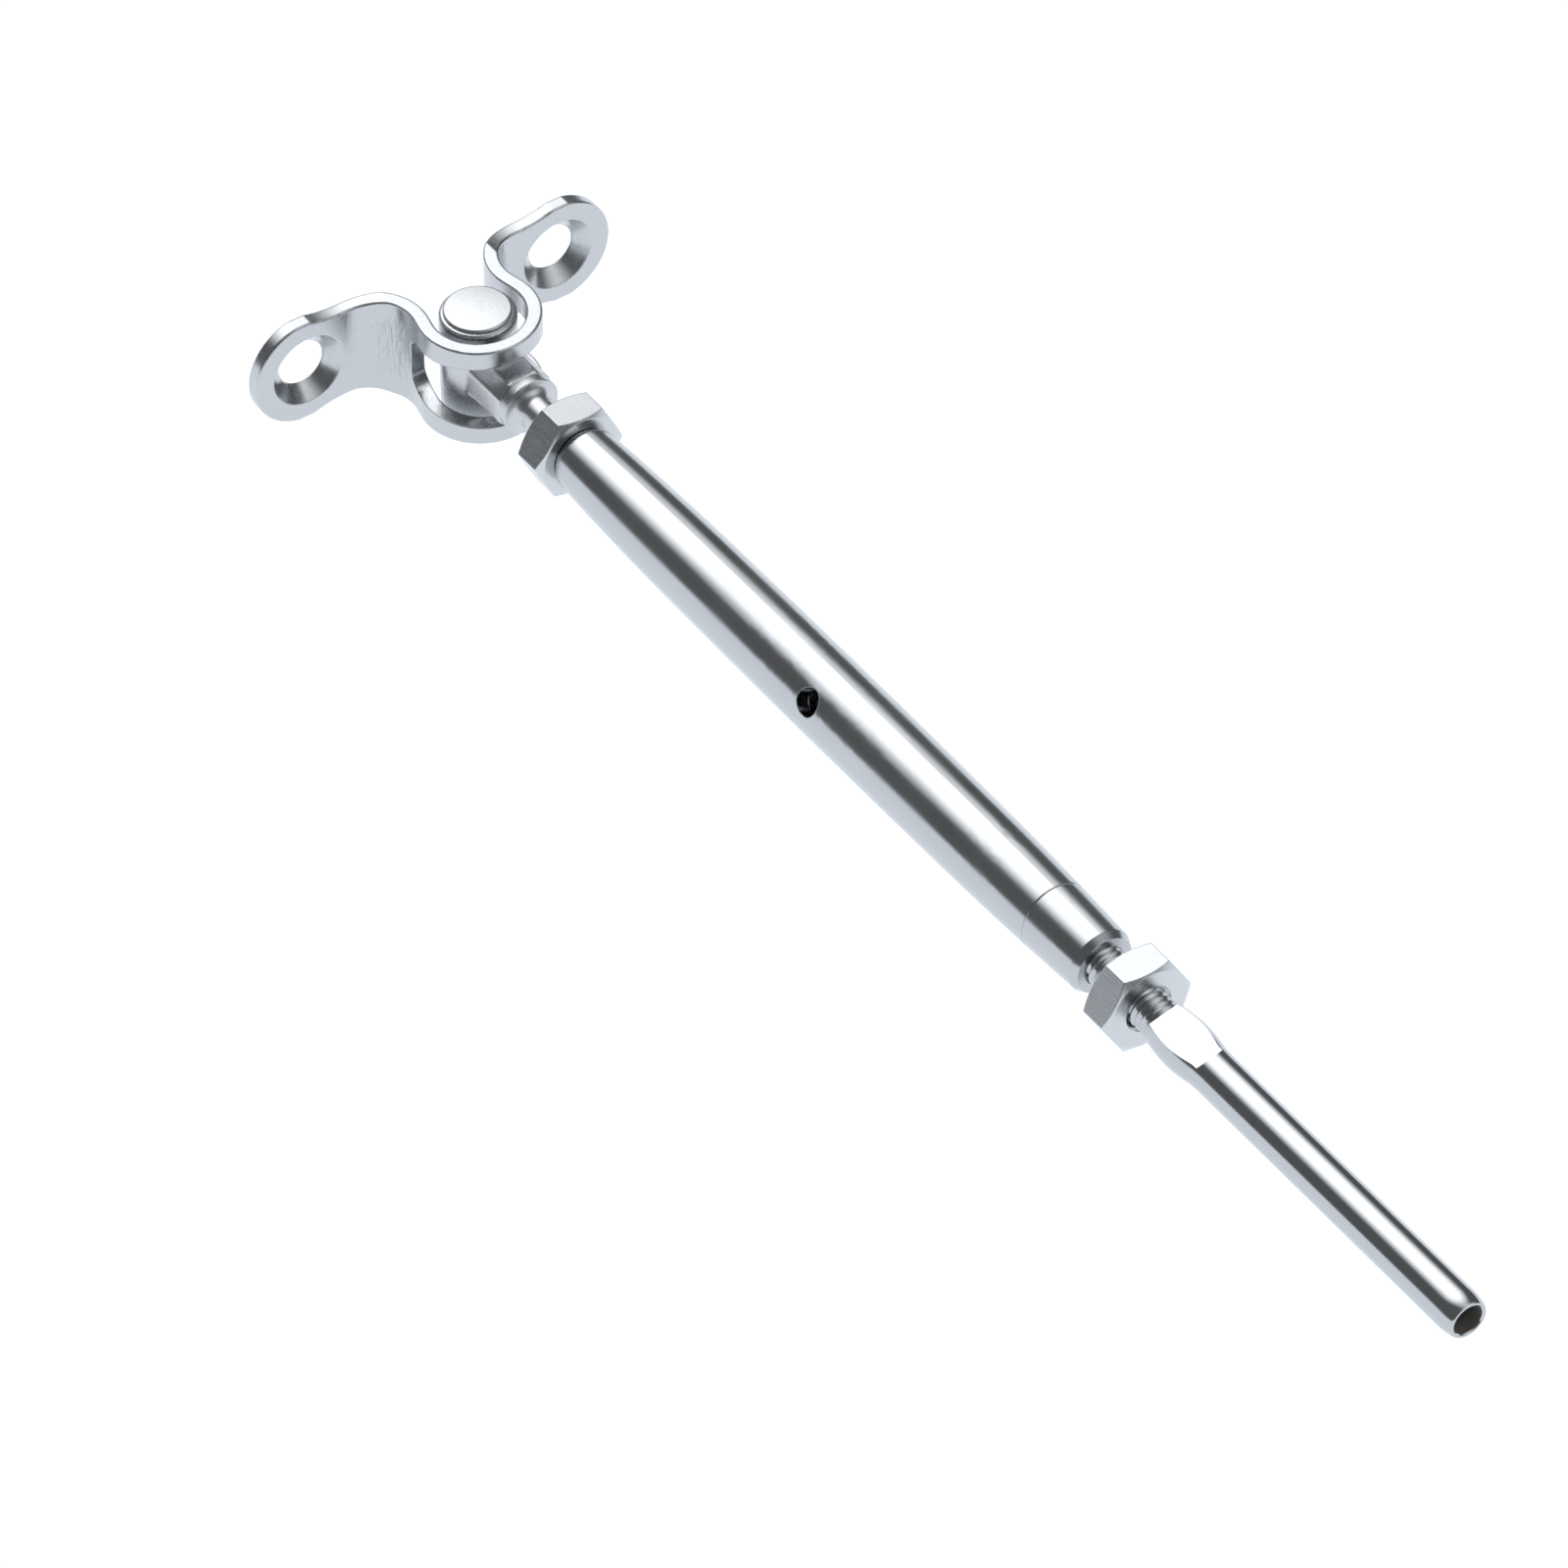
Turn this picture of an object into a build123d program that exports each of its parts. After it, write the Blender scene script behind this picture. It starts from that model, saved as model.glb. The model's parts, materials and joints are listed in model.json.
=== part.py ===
"""Rigging turnbuckle with a deck toggle at one end and a swage terminal at the other.

The frame: +X runs along the turnbuckle from the post face to the swage mouth, +Z is the toggle's
swing axis, and the origin is midway between the two screw holes on the face that meets the post.
Every revolved piece is drawn as its upper half in the XZ plane and turned about the X axis.
Sizes are in millimetres.
"""

import math
import os

from build123d import *

# --- strap that is screwed to the post -------------------------------------------------------
STRIP_THICKNESS = 2.15
STRIP_HEIGHT = 16.4
WAIST_HEIGHT = 14.7
WAIST_BEYOND_BEND = 0.6
EDGE_ROUND = 0.35
EAR_RADIUS = 8.4
SCREW_SPACING = 40.6
SCREW_HOLE_DIAMETER = 7.0
COUNTERSINK_DIAMETER = 11.2
BEND_INSIDE_RADIUS = 6.1
BEND_CLEAR_OF_LOOP = 5.35
LOOP_SIDE_GAP = 1.15
LOOP_FORWARD = 0.2
WINDOW_END_X = 8.3
WINDOW_END_HALF = 4.2
WINDOW_FRONT_HALF = 5.4
WINDOW_CORNER_RADIUS = 2.2

# --- toggle bolt: barrel, boss, flange, neck and right-hand thread ---------------------------
PIVOT_X = 13.0
BARREL_DIAMETER = 10.7
BARREL_HEIGHT = 16.2
CAP_DIAMETER = 9.5
CAP_HEIGHT = 0.5
CAP_ROUND = 0.4
BOSS_WIDTH = 8.4
BOSS_HEIGHT = 7.8
BOSS_CHAMFER = 1.9
FLANGE_DIAMETER = 8.7
FLANGE_THICKNESS = 1.6
FLANGE_FACE_X = 25.6
NECK_DIAMETER = 5.0
NECK_FILLET = 1.7

# --- threads, drawn as plain cylinders with running clearance --------------------------------
THREAD_BORE_DIAMETER = 6.0
THREAD_CLEARANCE = 0.1
THREAD_LENGTH = 55.0
THREAD_RUN_IN = 0.6
THREAD_END_CHAMFER = 0.6

# --- lock nuts -------------------------------------------------------------------------------
NUT_ACROSS_FLATS = 12.3
NUT_FACE_DIAMETER = 11.8
NUT_THICKNESS = 5.2
NUT_CORNER_DROP = 0.65
NUT_BORE_CHAMFER = 0.6
RH_NUT_TURN = -4.5
RH_NUT_BACK_X = 32.2
LH_NUT_GAP = 4.4
LH_SHOULDER_GAP = 3.7

# --- tubular body ----------------------------------------------------------------------------
BODY_LENGTH = 118.8
BODY_NUT_GAP = 0.1
BODY_MIDDLE_DIAMETER = 11.5
BODY_KNEE_DIAMETER = 11.2
BODY_END_DIAMETER = 9.45
BODY_TAPER_LENGTH = 28.0
BODY_END_CHAMFER = 0.45
BODY_END_CHAMFER_LENGTH = 1.1
BODY_BORE_DIAMETER = 7.0
BODY_THREAD_LENGTH = 14.0
TOMMY_HOLE_DIAMETER = 4.0
TOMMY_HOLE_TILT = 33.0
INSERT_LENGTH = 11.0
SPIGOT_DIAMETER = 8.6
SPIGOT_LENGTH = 8.0
SPIGOT_END_GAP = 0.3
SEAM_BREAK = 0.12

# --- swage stud ------------------------------------------------------------------------------
SWAGE_DIAMETER = 6.35
SWAGE_BORE_DIAMETER = 4.4
SWAGE_BORE_DEPTH = 40.0
SWAGE_LENGTH = 63.5
SHOULDER_ROOT_DIAMETER = 6.7
SHOULDER_CREST_DIAMETER = 7.4
SHOULDER_CREST_X = 4.5
SHOULDER_FALL_X = 8.4
SHOULDER_FALL_DIAMETER = 6.84
SHOULDER_LENGTH = 10.8
FLATS_ACROSS = 4.9
FLATS_LENGTH = 9.9
FLATS_RUN_OUT = 2.0
FLATS_TURN = 13.0
MOUTH_DIAMETER = 5.6
MOUTH_TAPER_LENGTH = 2.6
MOUTH_BREAK = 0.15

# --- places worked out from the sizes above --------------------------------------------------
barrel_radius = BARREL_DIAMETER / 2
loop_inner_radius = barrel_radius + LOOP_SIDE_GAP
loop_outer_radius = loop_inner_radius + STRIP_THICKNESS
loop_centre_x = PIVOT_X + LOOP_FORWARD
loop_front_x = loop_centre_x + loop_outer_radius
bend_centre_x = STRIP_THICKNESS + BEND_INSIDE_RADIUS
bend_centre_y = loop_outer_radius + BEND_CLEAR_OF_LOOP
waist_y = bend_centre_y + WAIST_BEYOND_BEND
ear_centre_y = SCREW_SPACING / 2
ear_end_y = ear_centre_y + EAR_RADIUS

rh_nut_front_x = RH_NUT_BACK_X + NUT_THICKNESS
body_start_x = rh_nut_front_x + BODY_NUT_GAP
body_end_x = body_start_x + BODY_LENGTH
body_middle_x = (body_start_x + body_end_x) / 2
seam_x = body_end_x - INSERT_LENGTH
lh_nut_back_x = body_end_x + LH_NUT_GAP
lh_nut_front_x = lh_nut_back_x + NUT_THICKNESS
shoulder_x = lh_nut_front_x + LH_SHOULDER_GAP
mouth_x = shoulder_x + SWAGE_LENGTH

bore_radius = THREAD_BORE_DIAMETER / 2
thread_radius = bore_radius - THREAD_CLEARANCE
rh_thread_start_x = RH_NUT_BACK_X - THREAD_RUN_IN
rh_thread_end_x = rh_thread_start_x + THREAD_LENGTH
lh_thread_end_x = shoulder_x - THREAD_LENGTH

os.makedirs("parts", exist_ok=True)


def finish(part, node):
    """Name a finished piece after its node and write its file."""
    part.label = node
    export_step(part, f"parts/{node}.step")


# --- deck_bracket: a strip bent round the barrel, with a window for the boss ------------------
# The leg is the straight line that touches both the bend and the loop, which curl opposite ways.
bend_to_loop_x = loop_centre_x - bend_centre_x
centre_distance = math.hypot(bend_to_loop_x, bend_centre_y)
touch_angle = math.acos((BEND_INSIDE_RADIUS + loop_outer_radius) / centre_distance)
leg_normal = math.degrees(math.atan2(bend_centre_y, bend_to_loop_x) + touch_angle)

with BuildPart() as deck_bracket:
    with BuildSketch() as strip_section:
        with BuildLine() as outer_face:
            Line((STRIP_THICKNESS, -ear_end_y), (STRIP_THICKNESS, -bend_centre_y))
            bend = CenterArc(
                (bend_centre_x, -bend_centre_y),
                BEND_INSIDE_RADIUS,
                180,
                leg_normal - 180,
            )
            loop = CenterArc(
                (loop_centre_x, 0),
                loop_outer_radius,
                180 + leg_normal,
                180 - leg_normal,
            )
            Line(bend @ 1, loop @ 0)
            mirror(about=Plane.XZ)
            offset(amount=STRIP_THICKNESS, side=Side.LEFT)
        make_face()
    extrude(amount=STRIP_HEIGHT / 2, both=True)
    with BuildSketch(Plane.YZ) as strip_outline:
        with BuildLine() as upper_half:
            crown = Line((0, STRIP_HEIGHT / 2), (loop_outer_radius, STRIP_HEIGHT / 2))
            waist = ThreePointArc(
                crown @ 1, (waist_y, WAIST_HEIGHT / 2), (ear_centre_y, EAR_RADIUS)
            )
            RadiusArc(waist @ 1, (ear_end_y, 0), EAR_RADIUS)
            Polyline((ear_end_y, 0), (0, 0), crown @ 0)
        make_face()
        mirror(about=Plane.XZ)
        mirror(about=Plane.YZ)
    extrude(amount=loop_front_x, mode=Mode.INTERSECT)
    fillet(deck_bracket.edges().filter_by(Axis.Z, reverse=True), EDGE_ROUND)
    with BuildSketch(Plane.XZ) as window:
        with BuildLine():
            Polyline(
                (WINDOW_END_X, WINDOW_END_HALF),
                (WINDOW_END_X, -WINDOW_END_HALF),
                (loop_front_x, -WINDOW_FRONT_HALF),
                (loop_front_x, WINDOW_FRONT_HALF),
                close=True,
            )
        make_face()
        fillet(window.vertices().group_by(Axis.X)[0], WINDOW_CORNER_RADIUS)
    extrude(amount=loop_outer_radius, both=True, mode=Mode.SUBTRACT)
    with Locations(Plane.YZ.offset(STRIP_THICKNESS)):
        with GridLocations(SCREW_SPACING, 0, 2, 1):
            CounterSinkHole(SCREW_HOLE_DIAMETER / 2, COUNTERSINK_DIAMETER / 2, counter_sink_angle=90)

finish(deck_bracket.part, "deck_bracket")


# --- toggle_bolt: one casting that drops into the loop from behind ---------------------------
with BuildPart() as toggle_bolt:
    with BuildSketch(Plane.XY.move(Location((PIVOT_X, 0, 0)))):
        Circle(barrel_radius)
    extrude(amount=BARREL_HEIGHT / 2, both=True)
    with BuildSketch(Plane.XY.move(Location((PIVOT_X, 0, BARREL_HEIGHT / 2)))):
        Circle(CAP_DIAMETER / 2)
    extrude(amount=CAP_HEIGHT)
    fillet(toggle_bolt.faces().sort_by(Axis.Z)[-1].edges(), CAP_ROUND)
    mirror(about=Plane.XY)
    with BuildSketch(Plane.YZ.offset(PIVOT_X)) as boss_section:
        Rectangle(BOSS_WIDTH, BOSS_HEIGHT)
        chamfer(boss_section.vertices(), BOSS_CHAMFER)
    extrude(amount=FLANGE_FACE_X - FLANGE_THICKNESS / 2 - PIVOT_X)
    with BuildSketch(Plane.XZ) as shank_half:
        with BuildLine() as shank_outline:
            Polyline(
                (PIVOT_X, 0),
                (PIVOT_X, NECK_DIAMETER / 2),
                (FLANGE_FACE_X - FLANGE_THICKNESS, NECK_DIAMETER / 2),
                (FLANGE_FACE_X - FLANGE_THICKNESS, FLANGE_DIAMETER / 2),
                (FLANGE_FACE_X, FLANGE_DIAMETER / 2),
                (FLANGE_FACE_X, NECK_DIAMETER / 2 + NECK_FILLET),
            )
            neck_curve = RadiusArc(
                (FLANGE_FACE_X, NECK_DIAMETER / 2 + NECK_FILLET),
                (FLANGE_FACE_X + NECK_FILLET, NECK_DIAMETER / 2),
                NECK_FILLET,
            )
            Polyline(
                neck_curve @ 1,
                (rh_thread_start_x - THREAD_END_CHAMFER, NECK_DIAMETER / 2),
                (rh_thread_start_x, thread_radius),
                (rh_thread_end_x - THREAD_END_CHAMFER, thread_radius),
                (rh_thread_end_x, thread_radius - THREAD_END_CHAMFER),
                (rh_thread_end_x, 0),
                (PIVOT_X, 0),
            )
        make_face()
    revolve(axis=Axis.X)

finish(toggle_bolt.part, "toggle_bolt")


# --- lock nuts: a chamfered hexagon whose corners are turned down to a cone --------------------
def lock_nut(back_x, turn):
    """Make one hexagon nut with its back face at back_x, turned about its axis by turn degrees."""
    corner_radius = NUT_ACROSS_FLATS / 2 / math.cos(math.radians(30))
    face_radius = NUT_FACE_DIAMETER / 2
    front_x = back_x + NUT_THICKNESS
    with BuildPart() as nut:
        with BuildSketch(Plane.YZ.offset(back_x).rotated((turn, 0, 0))):
            RegularPolygon(corner_radius, 6)
        extrude(amount=NUT_THICKNESS)
        with BuildSketch(Plane.XZ):
            with BuildLine():
                Polyline(
                    (back_x, 0),
                    (back_x, face_radius),
                    (back_x + NUT_CORNER_DROP, corner_radius),
                    (front_x - NUT_CORNER_DROP, corner_radius),
                    (front_x, face_radius),
                    (front_x, 0),
                    close=True,
                )
            make_face()
        revolve(axis=Axis.X, mode=Mode.INTERSECT)
        with Locations(Plane.YZ.offset(front_x)):
            Hole(bore_radius)
        bore_rims = nut.edges().filter_by(GeomType.CIRCLE).sort_by(SortBy.RADIUS)[:2]
        chamfer(bore_rims, NUT_BORE_CHAMFER)
    return nut.part


finish(lock_nut(RH_NUT_BACK_X, RH_NUT_TURN), "right_hand_lock_nut")
finish(lock_nut(lh_nut_back_x, 0), "left_hand_lock_nut")


# --- turnbuckle_body and left_hand_end: one barrel-shaped outline cut in two at the seam ------
def body_outline():
    """Draw the upper half of the whole body's outline, both ends chamfered, as a closed face."""
    middle_x = BODY_LENGTH / 2
    knee_x = middle_x - BODY_TAPER_LENGTH
    chamfer_radius = BODY_END_DIAMETER / 2 - BODY_END_CHAMFER
    half_points = (
        (-middle_x, chamfer_radius),
        (-middle_x + BODY_END_CHAMFER_LENGTH, BODY_END_DIAMETER / 2 + SEAM_BREAK),
        (-knee_x, BODY_KNEE_DIAMETER / 2),
    )
    with BuildSketch(Plane.XZ.move(Location((body_middle_x, 0, 0)))) as outline:
        with BuildLine():
            end_chamfer = Line(half_points[0], half_points[1])
            swell = ThreePointArc(
                half_points[2], (0, BODY_MIDDLE_DIAMETER / 2), (knee_x, half_points[2][1])
            )
            taper = TangentArc(swell @ 0, end_chamfer @ 1, tangent=(swell % 0) * -1)
            mirror(end_chamfer, about=Plane.YZ)
            mirror(taper, about=Plane.YZ)
            Polyline((-middle_x, chamfer_radius), (-middle_x, 0), (middle_x, 0), (middle_x, chamfer_radius))
        make_face()
    return outline.sketch


with BuildPart() as turnbuckle_body:
    add(body_outline())
    revolve(axis=Axis.X)
    split(bisect_by=Plane.YZ.offset(seam_x), keep=Keep.BOTTOM)
    with Locations(Plane.YZ.offset(seam_x)):
        Hole(SPIGOT_DIAMETER / 2, SPIGOT_LENGTH + SPIGOT_END_GAP)
        Hole(BODY_BORE_DIAMETER / 2, seam_x - body_start_x - BODY_THREAD_LENGTH)
        Hole(bore_radius)
    with Locations(Plane.XZ.rotated((-TOMMY_HOLE_TILT, 0, 0)).move(Location((body_middle_x, 0, 0)))):
        Cylinder(TOMMY_HOLE_DIAMETER / 2, 2 * BODY_MIDDLE_DIAMETER, mode=Mode.SUBTRACT)
    chamfer(turnbuckle_body.faces().sort_by(Axis.X)[-1].outer_wire().edges(), SEAM_BREAK)

finish(turnbuckle_body.part, "turnbuckle_body")

with BuildPart() as left_hand_end:
    add(body_outline())
    revolve(axis=Axis.X)
    split(bisect_by=Plane.YZ.offset(seam_x), keep=Keep.TOP)
    chamfer(left_hand_end.faces().sort_by(Axis.X)[0].edges(), SEAM_BREAK)
    with BuildSketch(Plane.YZ.offset(seam_x)):
        Circle(SPIGOT_DIAMETER / 2)
    extrude(amount=-SPIGOT_LENGTH)
    with Locations(Plane.YZ.offset(body_end_x)):
        Hole(bore_radius)

finish(left_hand_end.part, "left_hand_end")


# --- swage_stud: left-hand thread, swelled shoulder with two flats, tube for the wire rope -----
with BuildPart() as swage_stud:
    with BuildSketch(Plane.XZ) as stud_half:
        with BuildLine() as stud_outline:
            Polyline(
                (lh_thread_end_x, 0),
                (lh_thread_end_x, thread_radius - THREAD_END_CHAMFER),
                (lh_thread_end_x + THREAD_END_CHAMFER, thread_radius),
                (shoulder_x, thread_radius),
                (shoulder_x, SHOULDER_ROOT_DIAMETER / 2),
            )
            swell = ThreePointArc(
                (shoulder_x, SHOULDER_ROOT_DIAMETER / 2),
                (shoulder_x + SHOULDER_CREST_X, SHOULDER_CREST_DIAMETER / 2),
                (shoulder_x + SHOULDER_FALL_X, SHOULDER_FALL_DIAMETER / 2),
            )
            fall = Spline(
                swell @ 1,
                (shoulder_x + SHOULDER_LENGTH, SWAGE_DIAMETER / 2),
                tangents=(swell % 1, (1, 0)),
            )
            tube = Line(fall @ 1, (mouth_x - MOUTH_TAPER_LENGTH, SWAGE_DIAMETER / 2))
            nose = TangentArc(
                tube @ 1, (mouth_x, MOUTH_DIAMETER / 2), tangent=(1, 0)
            )
            Polyline(nose @ 1, (mouth_x, 0), (lh_thread_end_x, 0))
        make_face()
    revolve(axis=Axis.X)
    with Locations(Plane.YZ.offset(mouth_x)):
        Hole(SWAGE_BORE_DIAMETER / 2, SWAGE_BORE_DEPTH)
    mouth_rims = swage_stud.edges().filter_by(GeomType.CIRCLE).group_by(Axis.X)[-1]
    chamfer(mouth_rims.sort_by(SortBy.RADIUS)[0], MOUTH_BREAK)
    with BuildSketch(Plane.XZ.rotated((FLATS_TURN, 0, 0))):
        with BuildLine():
            Polyline(
                (shoulder_x, FLATS_ACROSS / 2),
                (shoulder_x + FLATS_LENGTH, FLATS_ACROSS / 2),
                (shoulder_x + FLATS_LENGTH + FLATS_RUN_OUT, SHOULDER_CREST_DIAMETER),
                (shoulder_x, SHOULDER_CREST_DIAMETER),
                close=True,
            )
        make_face()
        mirror(about=Plane.XZ)
    extrude(amount=SHOULDER_CREST_DIAMETER, both=True, mode=Mode.SUBTRACT)

finish(swage_stud.part, "swage_stud")
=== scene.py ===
# %% [markdown]
# # Rigging turnbuckle
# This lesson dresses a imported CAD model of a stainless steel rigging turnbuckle. The bracket, the
# lock nuts and the tubular body keep their CAD shapes and get finishes. The toggle and the swage
# stud are modelled again here, because they carry screw threads and soft cast corners that the
# CAD shapes leave plain.

# %% Load the fixed frame
import json
import math

import bmesh
import bpy
from mathutils import Matrix, Vector


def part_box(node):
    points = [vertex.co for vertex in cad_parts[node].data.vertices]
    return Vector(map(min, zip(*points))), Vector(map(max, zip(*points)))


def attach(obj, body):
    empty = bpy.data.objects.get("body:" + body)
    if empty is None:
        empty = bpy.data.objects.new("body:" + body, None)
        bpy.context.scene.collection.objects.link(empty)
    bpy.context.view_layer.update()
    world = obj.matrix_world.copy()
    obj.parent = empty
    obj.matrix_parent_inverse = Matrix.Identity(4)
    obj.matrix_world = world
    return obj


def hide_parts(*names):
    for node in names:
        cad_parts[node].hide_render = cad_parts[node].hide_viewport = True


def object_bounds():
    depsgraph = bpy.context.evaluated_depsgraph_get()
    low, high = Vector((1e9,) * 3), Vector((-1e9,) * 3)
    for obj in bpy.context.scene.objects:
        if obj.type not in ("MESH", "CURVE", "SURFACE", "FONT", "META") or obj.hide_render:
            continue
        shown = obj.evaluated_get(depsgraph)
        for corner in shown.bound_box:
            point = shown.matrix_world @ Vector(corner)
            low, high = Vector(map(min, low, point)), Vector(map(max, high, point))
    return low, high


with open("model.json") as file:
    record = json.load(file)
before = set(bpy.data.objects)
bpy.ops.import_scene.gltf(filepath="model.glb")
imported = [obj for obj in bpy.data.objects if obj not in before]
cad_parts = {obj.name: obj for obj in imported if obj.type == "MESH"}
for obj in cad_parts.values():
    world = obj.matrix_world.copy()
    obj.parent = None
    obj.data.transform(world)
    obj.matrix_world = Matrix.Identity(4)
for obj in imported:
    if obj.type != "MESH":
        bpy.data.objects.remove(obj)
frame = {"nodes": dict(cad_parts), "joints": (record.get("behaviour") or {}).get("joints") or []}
cad_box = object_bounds()
print("CAD box in mm:", [[round(1000 * value, 1) for value in corner] for corner in cad_box])

# %% [markdown]
# Blender works in metres here, while the sizes of a small metal fitting are easier to read in
# millimetres. One constant turns one into the other, and every size below is written in
# millimetres and multiplied by it. The frame says where the toggle swings and where the threads
# and the tube end, and the other places are counted from those.

# %% One unit for all sizes
MM = 0.001
X_AXIS = Vector((1, 0, 0))
Z_AXIS = Vector((0, 0, 1))

swing = next(joint for joint in frame["joints"] if joint["name"] == "toggle_swing")
PIVOT = Vector(swing["pos_m"]) / MM
TOGGLE_END_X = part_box("toggle_bolt")[1].x / MM
STUD_START_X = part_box("swage_stud")[0].x / MM
MOUTH_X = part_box("swage_stud")[1].x / MM
print("the toggle swings about x =", round(PIVOT.x, 2), "and the mouth is at x =", round(MOUTH_X, 2))

# %% [markdown]
# Colours are picked as sRGB hex values, the way paint and web charts give them. Blender's shaders
# want linear light, so one function turns a hex value into linear numbers.


# %% Turn a hex colour into linear light
def linear(hex_colour):
    """Turn an sRGB hex string such as "c8cacc" into a linear colour with full alpha."""
    channels = [int(hex_colour[i : i + 2], 16) / 255 for i in (0, 2, 4)]
    return [c / 12.92 if c <= 0.04045 else ((c + 0.055) / 1.055) ** 2.4 for c in channels] + [1.0]


print("stainless grey is", [round(c, 3) for c in linear("c4c7cb")])

# %% [markdown]
# A material is a small network of nodes. One function adds a node of any kind: settings that
# belong to the node itself go in as names, and values or links for its sockets go in as a
# dictionary. Writing each network out in full with it keeps every finish easy to read.


# %% Add one node
def add_node(tree, kind, sockets=None, **settings):
    """Add a node, set its own settings, and give its sockets numbers, colours or links."""
    node = tree.nodes.new(kind)
    for name, value in settings.items():
        setattr(node, name, value)
    for name, value in (sockets or {}).items():
        if isinstance(value, bpy.types.NodeSocket):
            tree.links.new(value, node.inputs[name])
        else:
            node.inputs[name].default_value = value
    return node


def new_material(name):
    """Make an empty material and return it with its node tree."""
    material = bpy.data.materials.new(name)
    material.use_nodes = True
    material.node_tree.nodes.clear()
    return material, material.node_tree


def finish_material(material, tree, shader):
    """Send a shader to the material's output and say that it is ready."""
    add_node(tree, "ShaderNodeOutputMaterial", {"Surface": shader.outputs["BSDF"]})
    print("material:", material.name)
    return material


# %% [markdown]
# ## Finishes
# Everything here is stainless steel, but each piece was made in its own way, and that is what the
# eye picks up. The tube of the body was drawn and then polished round and round, so it carries
# very fine rings. The rings are drawn 0.12 mm apart, coarser than real polishing lines, because
# finer ones would not show. Across the tube the same noise only wanders every 17 mm. A soft, slow
# change in roughness keeps the long highlights from looking computed. An anisotropic shader could
# stretch the highlights too, but the rings do it here with nothing to aim.

# %% Polished tube: body and left-hand end
RING_SPACING = 0.12 * MM
RING_WANDER = 1 / 60
PATCH_SIZE = 9 * MM

polished_tube, tree = new_material("stainless_polished_tube")
place = add_node(tree, "ShaderNodeTexCoord")
rings = add_node(
    tree,
    "ShaderNodeMapping",
    {
        "Vector": place.outputs["Object"],
        "Scale": (1 / RING_SPACING, 1 / RING_WANDER, 1 / RING_WANDER),
    },
)
ring_noise = add_node(
    tree, "ShaderNodeTexNoise", {"Vector": rings.outputs["Vector"], "Scale": 1.0, "Detail": 2.0}
)
patches = add_node(
    tree,
    "ShaderNodeTexNoise",
    {"Vector": place.outputs["Object"], "Scale": 1 / PATCH_SIZE, "Detail": 3.0},
)
ring_rough = add_node(
    tree,
    "ShaderNodeMapRange",
    {
        "Value": patches.outputs["Fac"],
        "From Min": 0.3,
        "From Max": 0.7,
        "To Min": 0.17,
        "To Max": 0.24,
    },
)
tube_edges = add_node(tree, "ShaderNodeBevel", {"Radius": 0.2 * MM}, samples=6)
ring_bump = add_node(
    tree,
    "ShaderNodeBump",
    {
        "Height": ring_noise.outputs["Fac"],
        "Strength": 0.10,
        "Distance": 0.02 * MM,
        "Normal": tube_edges.outputs["Normal"],
    },
)
tube_shader = add_node(
    tree,
    "ShaderNodeBsdfPrincipled",
    {
        "Base Color": linear("bec0c2"),
        "Metallic": 1.0,
        "Roughness": ring_rough.outputs["Result"],
        "Normal": ring_bump.outputs["Normal"],
    },
)
finish_material(polished_tube, tree, tube_shader)

# %% [markdown]
# The bracket is pressed from strip and then tumbled with polishing stones. That leaves it bright
# but not flat: light rolls over shallow dents a few millimetres across, with fine short scratches
# on top. The Bevel node rounds the cut edges of the window and the holes, which tumbling does on
# the real strip. Bevelling the mesh would do it too, but this adds no faces.

# %% Tumbled strip: rounded edges, dents and scratches
DENT_SIZE = 4.5 * MM
SCRATCH_WIDTH = 0.6 * MM
SCRATCH_LENGTH = 1.8 * MM

tumbled_strip, tree = new_material("stainless_tumbled_strip")
place = add_node(tree, "ShaderNodeTexCoord")
rounded = add_node(tree, "ShaderNodeBevel", {"Radius": 0.35 * MM}, samples=6)
dents = add_node(
    tree,
    "ShaderNodeTexNoise",
    {"Vector": place.outputs["Object"], "Scale": 1 / DENT_SIZE, "Detail": 2.0, "Roughness": 0.4},
)
scratch_place = add_node(
    tree,
    "ShaderNodeMapping",
    {
        "Vector": place.outputs["Object"],
        "Scale": (1 / SCRATCH_WIDTH, 1 / SCRATCH_WIDTH, 1 / SCRATCH_LENGTH),
    },
)
scratches = add_node(
    tree,
    "ShaderNodeTexNoise",
    {"Vector": scratch_place.outputs["Vector"], "Scale": 1.0, "Detail": 4.0, "Roughness": 0.7},
)
dent_bump = add_node(
    tree,
    "ShaderNodeBump",
    {
        "Height": dents.outputs["Fac"],
        "Strength": 0.16,
        "Distance": 0.12 * MM,
        "Normal": rounded.outputs["Normal"],
    },
)
scratch_bump = add_node(
    tree,
    "ShaderNodeBump",
    {
        "Height": scratches.outputs["Fac"],
        "Strength": 0.06,
        "Distance": 0.03 * MM,
        "Normal": dent_bump.outputs["Normal"],
    },
)
print("dents are", round(DENT_SIZE / MM, 1), "mm across")

# %% [markdown]
# Where the strip was folded tightest, its skin was squeezed and kept fine wrinkles. They belong
# only to the two folds, so a mask is needed. The Y coordinate loses its sign first, which makes
# one fold stand for both, and then the distance from the fold fades the mask out. A second mask
# fades it towards the strip's edges, where the stones rubbed the wrinkles away.

# %% Tumbled strip: where the folds are
FOLD_X = 5.0 * MM
FOLD_Y = 9.4 * MM
FOLD_REACH = 4.2 * MM
FOLD_HALF_HEIGHT = 6.6 * MM

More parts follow.
